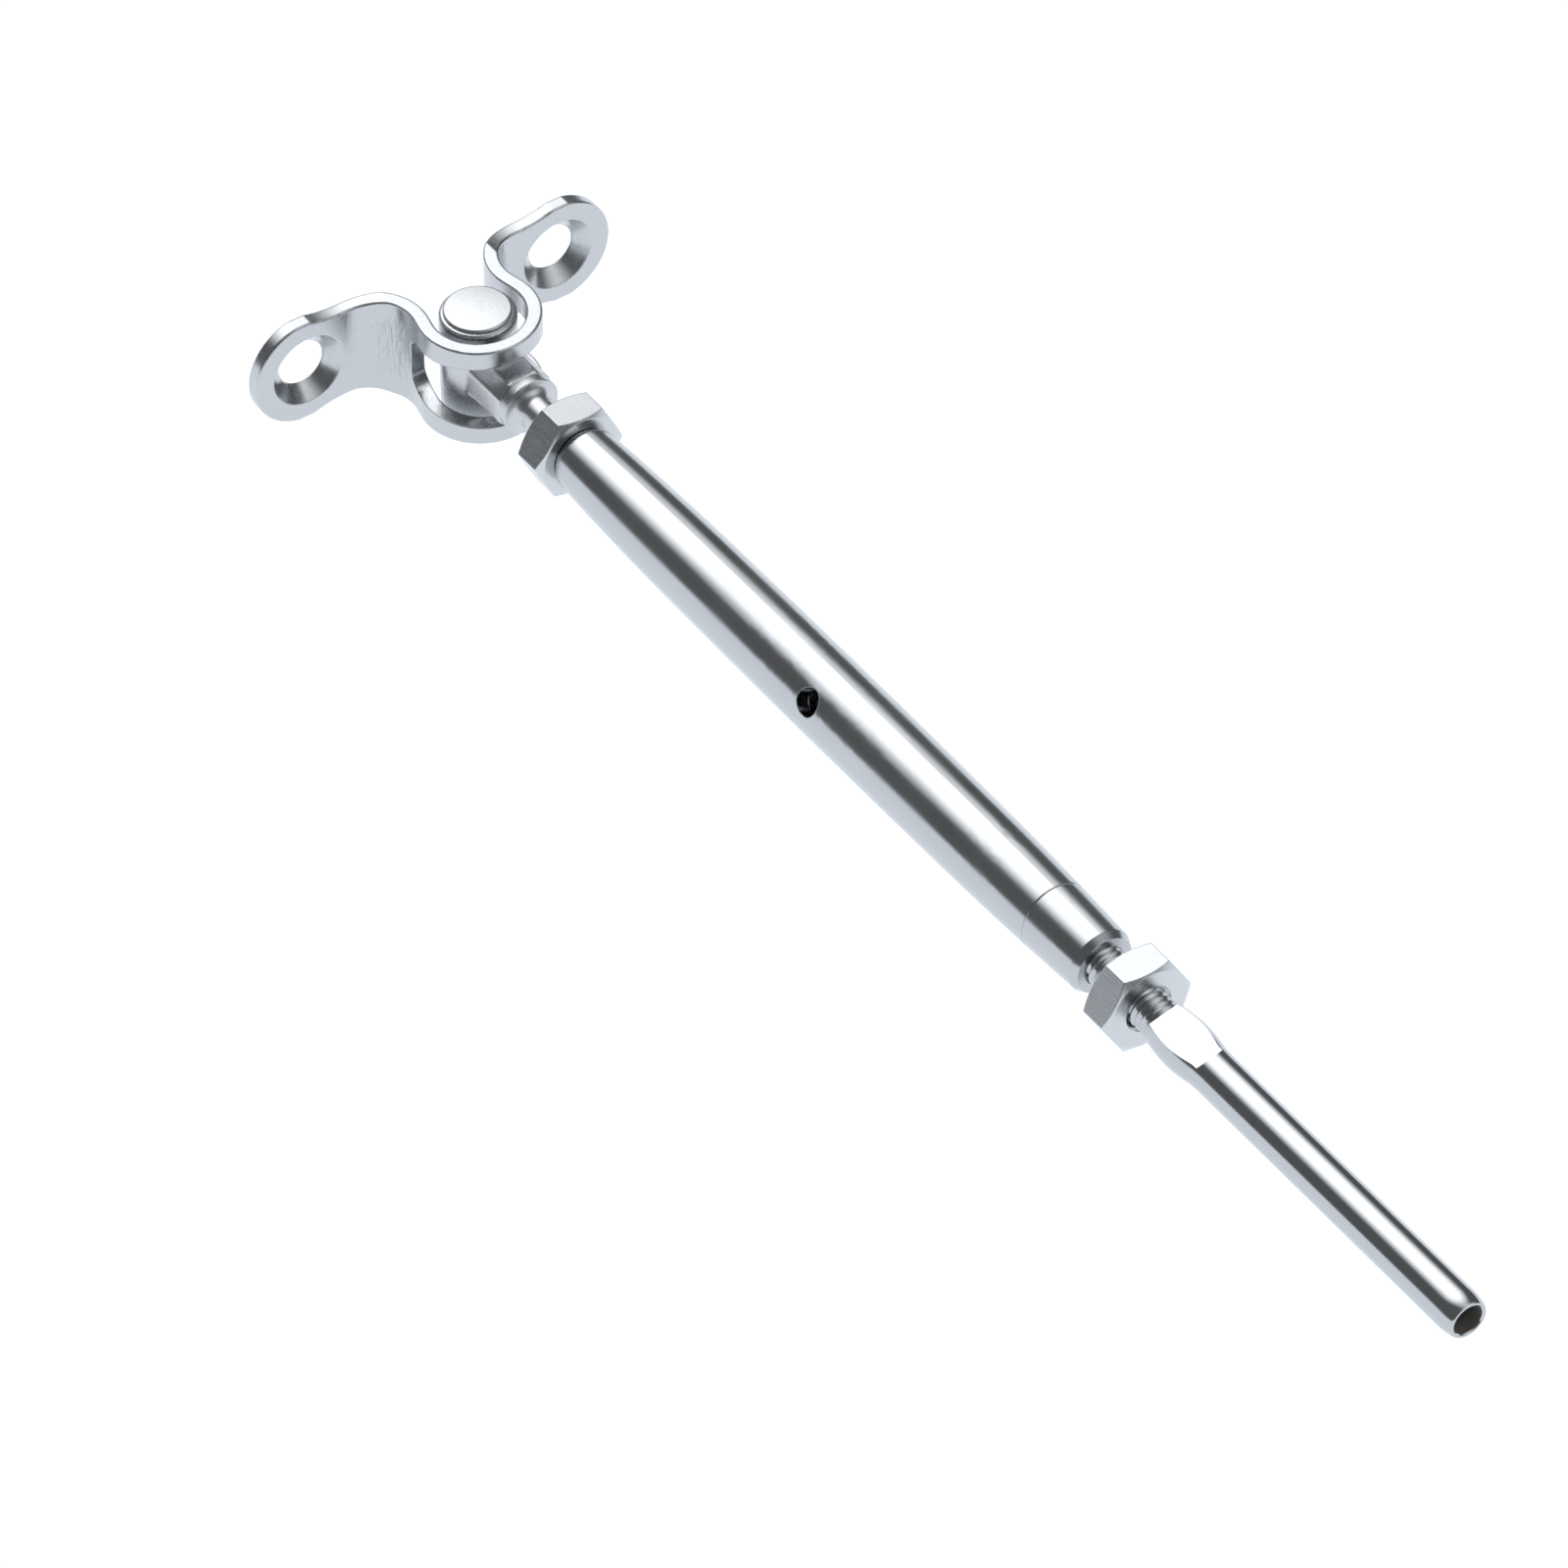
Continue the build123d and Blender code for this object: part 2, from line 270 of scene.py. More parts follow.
along = add_node(tree, "ShaderNodeSeparateXYZ", {"Vector": place.outputs["Object"]})
either_side = add_node(tree, "ShaderNodeMath", {0: along.outputs["Y"]}, operation="ABSOLUTE")
mirrored = add_node(
    tree,
    "ShaderNodeCombineXYZ",
    {"X": along.outputs["X"], "Y": either_side.outputs["Value"]},
)
from_fold = add_node(
    tree,
    "ShaderNodeVectorMath",
    {0: mirrored.outputs["Vector"], 1: (FOLD_X, FOLD_Y, 0)},
    operation="DISTANCE",
)
fold_mask = add_node(
    tree,
    "ShaderNodeMapRange",
    {
        "Value": from_fold.outputs["Value"],
        "From Min": 0.35 * FOLD_REACH,
        "From Max": FOLD_REACH,
        "To Min": 1.0,
        "To Max": 0.0,
    },
    interpolation_type="SMOOTHSTEP",
)
above_middle = add_node(tree, "ShaderNodeMath", {0: along.outputs["Z"]}, operation="ABSOLUTE")
height_mask = add_node(
    tree,
    "ShaderNodeMapRange",
    {
        "Value": above_middle.outputs["Value"],
        "From Min": 0.6 * FOLD_HALF_HEIGHT,
        "From Max": FOLD_HALF_HEIGHT,
        "To Min": 0.75,
        "To Max": 0.0,
    },
    interpolation_type="SMOOTHSTEP",
)
wrinkle_strength = add_node(
    tree,
    "ShaderNodeMath",
    {0: fold_mask.outputs["Result"], 1: height_mask.outputs["Result"]},
    operation="MULTIPLY",
)
print("wrinkles fade out", round(FOLD_REACH / MM, 1), "mm from each fold")

# %% [markdown]
# The wrinkles themselves are a noise stretched along Z, pushed about a little so that no line is
# straight. They are drawn wider than most real ones, because finer ones would not show. The
# product of both masks is the strength of their bump.

# %% Tumbled strip: wrinkles and shader
WRINKLE_WIDTH = 0.45 * MM
WRINKLE_LENGTH = 2.2 * MM

wrinkle_place = add_node(
    tree,
    "ShaderNodeMapping",
    {
        "Vector": place.outputs["Object"],
        "Scale": (1 / WRINKLE_WIDTH, 1 / WRINKLE_WIDTH, 1 / WRINKLE_LENGTH),
    },
)
wrinkles = add_node(
    tree,
    "ShaderNodeTexNoise",
    {
        "Vector": wrinkle_place.outputs["Vector"],
        "Scale": 1.0,
        "Detail": 3.0,
        "Roughness": 0.6,
        "Distortion": 0.6,
    },
)
wrinkle_bump = add_node(
    tree,
    "ShaderNodeBump",
    {
        "Height": wrinkles.outputs["Fac"],
        "Strength": wrinkle_strength.outputs["Value"],
        "Distance": 0.32 * MM,
        "Normal": scratch_bump.outputs["Normal"],
    },
)
strip_rough = add_node(
    tree,
    "ShaderNodeMapRange",
    {
        "Value": scratches.outputs["Fac"],
        "From Min": 0.3,
        "From Max": 0.7,
        "To Min": 0.18,
        "To Max": 0.30,
    },
)
strip_shader = add_node(
    tree,
    "ShaderNodeBsdfPrincipled",
    {
        "Base Color": linear("c4c6c8"),
        "Metallic": 1.0,
        "Roughness": strip_rough.outputs["Result"],
        "Normal": wrinkle_bump.outputs["Normal"],
    },
)
finish_material(tumbled_strip, tree, strip_shader)

# %% [markdown]
# The toggle is an investment casting. Its skin keeps a fine grain from the ceramic mould, even
# after polishing, so it looks a little frosted next to the strip. A noise a third of a millimetre
# across drives both a bump and the roughness, so that the grain shows in light and in shade.

# %% Cast steel: toggle
GRAIN_SIZE = 0.35 * MM

cast_steel, tree = new_material("stainless_investment_casting")
place = add_node(tree, "ShaderNodeTexCoord")
grain = add_node(
    tree,
    "ShaderNodeTexNoise",
    {"Vector": place.outputs["Object"], "Scale": 1 / GRAIN_SIZE, "Detail": 4.0, "Roughness": 0.65},
)
grain_bump = add_node(
    tree,
    "ShaderNodeBump",
    {"Height": grain.outputs["Fac"], "Strength": 0.16, "Distance": 0.05 * MM},
)
grain_rough = add_node(
    tree,
    "ShaderNodeMapRange",
    {
        "Value": grain.outputs["Fac"],
        "From Min": 0.3,
        "From Max": 0.7,
        "To Min": 0.22,
        "To Max": 0.36,
    },
)
cast_shader = add_node(
    tree,
    "ShaderNodeBsdfPrincipled",
    {
        "Base Color": linear("cacbcd"),
        "Metallic": 1.0,
        "Roughness": grain_rough.outputs["Result"],
        "Normal": grain_bump.outputs["Normal"],
    },
)
finish_material(cast_steel, tree, cast_shader)

# %% [markdown]
# The lock nuts are cut from hexagon bar. The flats keep the drawn bar's satin skin, with faint
# lines along the bar. The bar lies along X, so a noise stretched along X makes the lines, and the
# Bevel node softens the corners as deburring does.

# %% Satin bar: lock nuts
LINE_LENGTH = 3 * MM
LINE_WIDTH = 0.15 * MM

satin_bar, tree = new_material("stainless_satin_bar")
place = add_node(tree, "ShaderNodeTexCoord")
bar_lines = add_node(
    tree,
    "ShaderNodeMapping",
    {
        "Vector": place.outputs["Object"],
        "Scale": (1 / LINE_LENGTH, 1 / LINE_WIDTH, 1 / LINE_WIDTH),
    },
)
bar_noise = add_node(
    tree, "ShaderNodeTexNoise", {"Vector": bar_lines.outputs["Vector"], "Scale": 1.0, "Detail": 3.0}
)
bar_edges = add_node(tree, "ShaderNodeBevel", {"Radius": 0.22 * MM}, samples=6)
bar_bump = add_node(
    tree,
    "ShaderNodeBump",
    {
        "Height": bar_noise.outputs["Fac"],
        "Strength": 0.2,
        "Distance": 0.03 * MM,
        "Normal": bar_edges.outputs["Normal"],
    },
)
bar_rough = add_node(
    tree,
    "ShaderNodeMapRange",
    {
        "Value": bar_noise.outputs["Fac"],
        "From Min": 0.3,
        "From Max": 0.7,
        "To Min": 0.22,
        "To Max": 0.32,
    },
)
bar_shader = add_node(
    tree,
    "ShaderNodeBsdfPrincipled",
    {
        "Base Color": linear("cdcfd1"),
        "Metallic": 1.0,
        "Roughness": bar_rough.outputs["Result"],
        "Normal": bar_bump.outputs["Normal"],
    },
)
finish_material(satin_bar, tree, bar_shader)

# %% [markdown]
# The swage stud is turned from bar and buffed bright, so its reflections are the sharpest on the
# whole fitting. Only very faint turning rings remain. They are made as the body's rings are, a
# little further apart and shallower.

# %% Buffed bar: swage stud
TURNING_SPACING = 0.2 * MM
TURNING_WANDER = 1 / 90

buffed_bar, tree = new_material("stainless_buffed_bar")
place = add_node(tree, "ShaderNodeTexCoord")
turning = add_node(
    tree,
    "ShaderNodeMapping",
    {
        "Vector": place.outputs["Object"],
        "Scale": (1 / TURNING_SPACING, 1 / TURNING_WANDER, 1 / TURNING_WANDER),
    },
)
turning_noise = add_node(
    tree, "ShaderNodeTexNoise", {"Vector": turning.outputs["Vector"], "Scale": 1.0, "Detail": 2.0}
)
turning_bump = add_node(
    tree,
    "ShaderNodeBump",
    {"Height": turning_noise.outputs["Fac"], "Strength": 0.08, "Distance": 0.02 * MM},
)
buffed_rough = add_node(
    tree,
    "ShaderNodeMapRange",
    {
        "Value": turning_noise.outputs["Fac"],
        "From Min": 0.3,
        "From Max": 0.7,
        "To Min": 0.12,
        "To Max": 0.18,
    },
)
buffed_shader = add_node(
    tree,
    "ShaderNodeBsdfPrincipled",
    {
        "Base Color": linear("bec0c2"),
        "Metallic": 1.0,
        "Roughness": buffed_rough.outputs["Result"],
        "Normal": turning_bump.outputs["Normal"],
    },
)
finish_material(buffed_bar, tree, buffed_shader)

# %% [markdown]
# The wire rope goes into a drilled bore, and nobody polishes the inside of a bore. Its wall is
# duller than the outside, and drill rings catch a little light just inside the mouth. Rings that
# follow each other evenly are a job for the Wave texture rather than for noise. Its bands come
# 0.31 of its size apart, so a size of 6 mm gives rings 1.9 mm apart.

# %% Drilled bore: inside of the swage tube
WAVE_SIZE = 6 * MM

drilled_bore, tree = new_material("stainless_drilled_bore")
place = add_node(tree, "ShaderNodeTexCoord")
drill_rings = add_node(
    tree,
    "ShaderNodeTexWave",
    {
        "Vector": place.outputs["Object"],
        "Scale": 1 / WAVE_SIZE,
        "Distortion": 0.6,
        "Detail": 2.0,
    },
    bands_direction="X",
)
drill_bump = add_node(
    tree,
    "ShaderNodeBump",
    {"Height": drill_rings.outputs["Fac"], "Strength": 0.3, "Distance": 0.04 * MM},
)
bore_shader = add_node(
    tree,
    "ShaderNodeBsdfPrincipled",
    {
        "Base Color": linear("b9b6b2"),
        "Metallic": 1.0,
        "Roughness": 0.6,
        "Normal": drill_bump.outputs["Normal"],
    },
)
finish_material(drilled_bore, tree, bore_shader)

# %% [markdown]
# The CAD pieces that keep their shape only need their material swapped. A CAD mesh has one
# material slot, so it is enough to fill that.

# %% Dress the CAD pieces
FINISHES = {
    "deck_bracket": tumbled_strip,
    "right_hand_lock_nut": satin_bar,
    "left_hand_lock_nut": satin_bar,
    "turnbuckle_body": polished_tube,
    "left_hand_end": polished_tube,
}
for node_name, material in FINISHES.items():
    frame["nodes"][node_name].data.materials[0] = material
    print(node_name, "->", material.name)

# %% [markdown]
# ## Shared modelling steps
# Most of a turnbuckle is round. One helper spins an outline round an axis, as a lathe would. A
# Screw modifier could do this too, but a bmesh is ready at once for the next step.

# %% A helper for turned shapes
SPIN_STEPS = 128
WELD_DISTANCE = 0.001 * MM


def spin_outline(shape, points, axis=X_AXIS, centre=(0, 0, 0), steps=SPIN_STEPS):
    """Spin a line of (along, radius) points in mm a full turn and close its poles."""
    side = Z_AXIS if axis == X_AXIS else X_AXIS
    start = Vector(centre) * MM
    rims = [shape.verts.new(start + (axis * along + side * radius) * MM) for along, radius in points]
    edges = [shape.edges.new(pair) for pair in zip(rims, rims[1:])]
    bmesh.ops.spin(
        shape,
        geom=rims + edges,
        cent=start,
        axis=axis,
        angle=2 * math.pi,
        steps=steps,
        use_merge=True,
    )
    bmesh.ops.remove_doubles(shape, verts=shape.verts, dist=WELD_DISTANCE)
    bmesh.ops.recalc_face_normals(shape, faces=shape.faces)


print("an outline is spun in", SPIN_STEPS, "steps unless a piece says otherwise")

# %% [markdown]
# A bmesh becomes an object in the same few steps each time. A finished piece also gets smooth
# faces that break at sharp edges, its finish, and the CAD body it rides on. When a modifier has
# done its work, the last helper reads the result back into a bmesh.

# %% Helpers that turn shapes into objects and back
SHARP_DEGREES = 30


def new_object(name, shape):
    """Turn a bmesh into an object in the scene and free the bmesh."""
    mesh = bpy.data.meshes.new(name)
    shape.to_mesh(mesh)
    shape.free()
    made = bpy.data.objects.new(name, mesh)
    bpy.context.scene.collection.objects.link(made)
    return made


def mark_sharp(shape, sharp_degrees):
    """Make edges smooth where their two faces meet at less than an angle."""
    for edge in shape.edges:
        if len(edge.link_faces) == 2:
            edge.smooth = edge.calc_face_angle(0) < math.radians(sharp_degrees)


def make_piece(name, shape, material, body, sharp_degrees=SHARP_DEGREES):
    """Turn a bmesh into an object with smooth faces, a finish and a body to ride on."""
    for face in shape.faces:
        face.smooth = True
    mark_sharp(shape, sharp_degrees)
    piece = new_object(name, shape)
    piece.data.materials.append(material)
    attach(piece, body)
    print(name, "has", len(piece.data.polygons), "faces")
    return piece


def with_modifiers(piece):
    """Return a bmesh of a piece as its modifiers leave it."""
    finished = piece.evaluated_get(bpy.context.evaluated_depsgraph_get())
    shape = bmesh.new()
    shape.from_mesh(finished.to_mesh())
    finished.to_mesh_clear()
    return shape


print("edges stay sharp from", SHARP_DEGREES, "degrees unless a piece says otherwise")

# %% [markdown]
# ## Screw threads
# A rolled thread is one ridge wound round and round. The same spin operator makes it: an outline
# one pitch long is spun, and slid along the axis by one pitch for each turn, so every turn meets
# the next. Welding the seam gives one skin, and two planes cut the ends square for a face to close
# them. A negative angle winds the thread the other way, which makes it left-handed. A bump on a
# cylinder would be cheaper, but its outline would stay straight, and the threads are seen from the
# side between the body and the nut.

# %% A helper for threads
THREAD_PITCH = 1.0
THREAD_CREST = 2.96
THREAD_ROOT = 2.42
THREAD_STEPS = 40
CREST_BREAK = 0.06


def thread_shape(start_x, end_x, left_handed):
    """Make a closed threaded rod along X between two places in mm."""
    shape = bmesh.new()
    pitch_outline = (
        (0.0, THREAD_ROOT),
        (0.10, THREAD_ROOT),
        (0.40, THREAD_CREST - CREST_BREAK),
        (0.46, THREAD_CREST),
        (0.54, THREAD_CREST),
        (0.60, THREAD_CREST - CREST_BREAK),
        (0.90, THREAD_ROOT),
        (1.0, THREAD_ROOT),
    )
    first = start_x - THREAD_PITCH
    rims = [
        shape.verts.new(Vector((first + along, 0, radius)) * MM) for along, radius in pitch_outline
    ]
    edges = [shape.edges.new(pair) for pair in zip(rims, rims[1:])]
    turns = math.ceil((end_x - start_x) / THREAD_PITCH) + 2
    bmesh.ops.spin(
        shape,
        geom=rims + edges,
        cent=(0, 0, 0),
        axis=X_AXIS,
        dvec=X_AXIS * THREAD_PITCH / THREAD_STEPS * MM,
        angle=2 * math.pi * turns * (-1 if left_handed else 1),
        steps=turns * THREAD_STEPS,
    )
    bmesh.ops.remove_doubles(shape, verts=shape.verts, dist=2 * WELD_DISTANCE)
    for place, outward in ((start_x, -X_AXIS), (end_x, X_AXIS)):
        bmesh.ops.bisect_plane(
            shape,
            geom=shape.verts[:] + shape.edges[:] + shape.faces[:],
            plane_co=Vector((place, 0, 0)) * MM,
            plane_no=outward,
            clear_outer=True,
        )
        rim = [edge for edge in shape.edges if edge.is_boundary]
        bmesh.ops.edgeloop_fill(shape, edges=rim)
    bmesh.ops.recalc_face_normals(shape, faces=shape.faces)
    return shape


print("each turn of a thread has", THREAD_STEPS, "steps")

# %% [markdown]
# ## Toggle
# The toggle's barrel lies in the bracket's loop, and its boss reaches out through the window. The
# barrel is spun round Z. The boss starts as a cube whose four long edges are bevelled, and both
# go into one bmesh, still cutting through each other.

# %% Barrel and boss
BARREL_RADIUS = 5.35
BARREL_HALF = 8.1
BARREL_ROUND = 0.35
BARREL_STEPS = 96
BOSS_WIDTH = 8.4
BOSS_HEIGHT = 7.8
BOSS_CHAMFER = 1.9
BOSS_OVERLAP = 0.1
FLANGE_FACE_X = PIVOT.x + 12.6
FLANGE_THICKNESS = 1.6

casting = bmesh.new()
barrel_outline = [
    (-BARREL_HALF, 0),
    (-BARREL_HALF, BARREL_RADIUS - BARREL_ROUND),
    (-BARREL_HALF + BARREL_ROUND, BARREL_RADIUS),
]
barrel_outline += [(-along, radius) for along, radius in reversed(barrel_outline)]
spin_outline(casting, barrel_outline, axis=Z_AXIS, centre=PIVOT, steps=BARREL_STEPS)

flange_back_x = FLANGE_FACE_X - FLANGE_THICKNESS
boss_length = flange_back_x + BOSS_OVERLAP - PIVOT.x
block = bmesh.ops.create_cube(casting, size=1.0)["verts"]
bmesh.ops.scale(casting, verts=block, vec=Vector((boss_length, BOSS_WIDTH, BOSS_HEIGHT)) * MM)
bmesh.ops.translate(casting, verts=block, vec=(PIVOT + X_AXIS * boss_length / 2) * MM)
block_edges = {edge for vert in block for edge in vert.link_edges}
long_edges = [edge for edge in block_edges if abs((edge.verts[0].co - edge.verts[1].co).x) > MM]
bmesh.ops.bevel(
    casting,
    geom=long_edges,
    offset=BOSS_CHAMFER * MM,
    offset_type="OFFSET",
    segments=1,
    profile=0.5,
    affect="EDGES",
    material=-1,
)
print("barrel and boss have", len(casting.faces), "faces before they are melted together")

# %% [markdown]
# A casting has no sharp inside corners. A Boolean union would leave one all round the boss, and a
# bevel there is hard to control. So a voxel remesh melts the two shapes into one skin, and a few
# rounds of smoothing leave the soft fillets of a casting.

# %% One soft casting
CAST_VOXEL = 0.14
CAST_SMOOTHING = 0.5
CAST_ROUNDS = 45
ALL_SMOOTH = 180

rough = new_object("casting_rough", casting)
melt = rough.modifiers.new("melt", "REMESH")
melt.mode = "VOXEL"
melt.voxel_size = CAST_VOXEL * MM
soften = rough.modifiers.new("soften", "SMOOTH")
soften.factor = CAST_SMOOTHING
soften.iterations = CAST_ROUNDS
casting = with_modifiers(rough)
bpy.data.objects.remove(rough)
casting_piece = make_piece("toggle_casting", casting, cast_steel, "toggle", sharp_degrees=ALL_SMOOTH)

# %% [markdown]
# Each end of the barrel carries a low cap with a rounded rim. It is spun on its own, because the
# smoothing of the casting would wash out the small step around it. One outline serves for both
# ends: turning its sign over gives the lower one.

# %% Caps of the barrel
CAP_RADIUS = 4.75
CAP_HEIGHT = 0.5
CAP_ROUND = 0.4
CAP_ROUND_STEPS = 5
CAP_SINK = 1.0

rim_start = BARREL_HALF + CAP_HEIGHT - CAP_ROUND
cap_outline = [
    (BARREL_HALF - CAP_SINK, 0),
    (BARREL_HALF - CAP_SINK, CAP_RADIUS),
    (rim_start, CAP_RADIUS),
]
for step in range(1, CAP_ROUND_STEPS + 1):
    turn = math.radians(90 * step / CAP_ROUND_STEPS)
    cap_outline.append(
        (rim_start + CAP_ROUND * math.sin(turn), CAP_RADIUS - CAP_ROUND * (1 - math.cos(turn)))
    )
cap_outline.append((BARREL_HALF + CAP_HEIGHT, 0))

caps = bmesh.new()
for side in (1, -1):
    one_side = [(side * along, radius) for along, radius in cap_outline]
    spin_outline(caps, one_side, axis=Z_AXIS, centre=PIVOT)
caps_piece = make_piece("toggle_caps", caps, cast_steel, "toggle")

# %% [markdown]
# Past the boss comes a turned flange, and a deep fillet leads from it down to the neck. The
# fillet is a quarter circle, worked out by a loop.

# %% Flange and neck
FLANGE_RADIUS = 4.35
FLANGE_BREAK = 0.25
NECK_RADIUS = 2.5
NECK_FILLET = 1.7
FILLET_STEPS = 12
THREAD_LENGTH = 55.0

thread_start_x = TOGGLE_END_X - THREAD_LENGTH
shank_outline = [
    (flange_back_x, 0),
    (flange_back_x, FLANGE_RADIUS - FLANGE_BREAK),
    (flange_back_x + FLANGE_BREAK, FLANGE_RADIUS),
    (FLANGE_FACE_X - FLANGE_BREAK / 2, FLANGE_RADIUS),
    (FLANGE_FACE_X, FLANGE_RADIUS - FLANGE_BREAK / 2),
]
for step in range(FILLET_STEPS + 1):
    turn = math.radians(90 * step / FILLET_STEPS)
    shank_outline.append(
        (
            FLANGE_FACE_X + NECK_FILLET * (1 - math.cos(turn)),
            NECK_RADIUS + NECK_FILLET * (1 - math.sin(turn)),
        )
    )
shank_outline += [(thread_start_x, NECK_RADIUS), (thread_start_x, 0)]
shank = bmesh.new()
spin_outline(shank, shank_outline)
shank_piece = make_piece("toggle_shank", shank, cast_steel, "toggle")
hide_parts("toggle_bolt")

# %% [markdown]
# The thread starts a little inside the neck, so no gap can open between them. Its flanks meet the
# crest at a shallow angle, and the high limit for sharp edges keeps the ridge looking rolled
# instead of cut.

# %% Right-hand thread
THREAD_LEAD = 0.4
THREAD_SHARP = 75

right_thread = thread_shape(thread_start_x - THREAD_LEAD, TOGGLE_END_X, left_handed=False)
right_thread_piece = make_piece(
    "right_hand_thread", right_thread, buffed_bar, "toggle", sharp_degrees=THREAD_SHARP
)

# %% [markdown]
# ## Swage stud
# The stud is a thread, a swelled shoulder with two spanner flats, and a plain tube. Shoulder and
# tube are one outline, spun with its bore. The swell is half a sine wave that settles into the
# tube, which gives the soft hump of the real one with a few numbers instead of a row of points.

# %% Shoulder and tube
SWAGE_LENGTH = 63.5
SWAGE_RADIUS = 3.175
SHOULDER_ROOT = 3.35
SHOULDER_SWELL = 0.35
SHOULDER_LENGTH = 10.8
SHOULDER_BREAK = 0.15
SWELL_SHARE = 0.82
SETTLE_START = 0.35
SETTLE_POWER = 1.5
MOUTH_TAPER = 2.6
MOUTH_BREAK = 0.15
MOUTH_LIP = 2.68
MOUTH_DROP = 0.36
BORE_RADIUS = 2.2
BORE_DEPTH = 40.0
SWELL_STEPS = 24
TAPER_STEPS = 6
TUBE_STEPS = 160

shoulder_x = MOUTH_X - SWAGE_LENGTH
outline = [(shoulder_x, 0), (shoulder_x, SHOULDER_ROOT - SHOULDER_BREAK)]
for step in range(SWELL_STEPS + 1):
    share = step / SWELL_STEPS
    along = shoulder_x + SHOULDER_BREAK + share * (SHOULDER_LENGTH - SHOULDER_BREAK)
    swell = SHOULDER_SWELL * math.sin(math.pi * min(share / SWELL_SHARE, 1.0))
    settle = max(0.0, (share - SETTLE_START) / (1 - SETTLE_START)) ** SETTLE_POWER
    outline.append((along, SHOULDER_ROOT + swell - (SHOULDER_ROOT - SWAGE_RADIUS) * settle))
for step in range(TAPER_STEPS + 1):
    share = step / TAPER_STEPS
    along = MOUTH_X - MOUTH_TAPER + (MOUTH_TAPER - MOUTH_BREAK) * share
    outline.append((along, SWAGE_RADIUS - MOUTH_DROP * share**2))
outline += [(MOUTH_X, MOUTH_LIP), (MOUTH_X, BORE_RADIUS + MOUTH_BREAK)]
outline += [(MOUTH_X - MOUTH_BREAK, BORE_RADIUS), (MOUTH_X - BORE_DEPTH, BORE_RADIUS)]
outline += [(MOUTH_X - BORE_DEPTH, 0)]
swage = bmesh.new()
spin_outline(swage, outline, steps=TUBE_STEPS)
swage_piece = make_piece("swage_tube", swage, buffed_bar, "stud")
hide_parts("swage_stud")

# %% [markdown]
# The spanner flats are milled on opposite sides of the swell. Two blocks stand where the cutter
# passes. Each block's far end leans back, because the cutter leaves the bar on a slope, and both
# are turned a little round the stud, as the flats are on the real one.

# %% Cutters for the spanner flats
FLATS_ACROSS = 4.9
FLATS_LENGTH = 9.9
FLATS_RUN_OUT = 0.8
FLATS_TURN = math.radians(13)
CUTTER_SIZE = 4.0

cutter_length = FLATS_LENGTH + CUTTER_SIZE
middle_x = shoulder_x - CUTTER_SIZE + cutter_length / 2
cutters = bmesh.new()
for side in (1, -1):
    block = bmesh.ops.create_cube(cutters, size=1.0)["verts"]
    size = Vector((cutter_length, 3 * CUTTER_SIZE, CUTTER_SIZE))
    bmesh.ops.scale(cutters, verts=block, vec=size * MM)
    middle_z = side * (FLATS_ACROSS + CUTTER_SIZE) / 2
    bmesh.ops.translate(cutters, verts=block, vec=Vector((middle_x, 0, middle_z)) * MM)
    far_end = [vert for vert in block if vert.co.x > middle_x * MM]
    far_top = [vert for vert in far_end if vert.co.z * side > abs(middle_z) * MM]
    bmesh.ops.translate(cutters, verts=far_top, vec=X_AXIS * FLATS_RUN_OUT * CUTTER_SIZE * MM)
turned = Matrix.Rotation(FLATS_TURN, 3, "X")
bmesh.ops.rotate(cutters, verts=cutters.verts, cent=(0, 0, 0), matrix=turned)
bmesh.ops.recalc_face_normals(cutters, faces=cutters.faces)
print("the cutters are", round(cutter_length, 1), "mm long and stand", FLATS_ACROSS, "mm apart")

# %% [markdown]
# A Boolean takes the cutters away from the tube, as milling does. Pushing vertices flat would be
# simpler, but would not leave the crisp curved rim around each flat. The faces inside the bore
# are found by their distance from the axis and get the second material slot.

# %% Milled flats
MILLED_SHARP = 20
WALL_LEAN = 0.9

cutter = new_object("flat_cutters", cutters)
mill = swage_piece.modifiers.new("mill", "BOOLEAN")
mill.operation = "DIFFERENCE"
mill.solver = "EXACT"
mill.object = cutter
milled = with_modifiers(swage_piece)
swage_piece.modifiers.clear()
bpy.data.objects.remove(cutter)
mark_sharp(milled, MILLED_SHARP)
for face in milled.faces:
    face_middle = face.calc_center_median()
    from_axis = math.hypot(face_middle.y, face_middle.z)
    if from_axis < BORE_RADIUS * MM and abs(face.normal.x) < WALL_LEAN:
        face.material_index = 1
milled.to_mesh(swage_piece.data)
milled.free()
swage_piece.data.materials.append(drilled_bore)
print("swage tube with flats has", len(swage_piece.data.polygons), "faces")

# %% [markdown]
# The stud's own thread runs from its end in the body to just inside the shoulder. The same helper
# makes it, wound the other way.

# %% Left-hand thread
THREAD_SINK = 0.05

left_thread = thread_shape(STUD_START_X, shoulder_x + THREAD_SINK, left_handed=True)
left_thread_piece = make_piece(
    "left_hand_thread", left_thread, buffed_bar, "stud", sharp_degrees=THREAD_SHARP
)

# %% [markdown]
# ## Studio
# Polished metal shows the room more than itself. A wide soft light overhead gives the long white
# highlight, dim surroundings give the dark bands beside it, and a pale lit floor fills the
# underside with light grey. The floor is a sheet of white acrylic that glows by itself, so it
# stays white and hardly takes a shadow. The glow fades away from the part, or the floor's far
# side would fill the dark bands.

# %% Floor
FLOOR_HALF_SIZE = 3.0
FLOOR_MIDDLE_X = 0.1
FLOOR_GAP = 0.2 * MM
GLOW_FULL = 0.20
GLOW_FADED = 0.45
GLOW_LEFT = 0.45

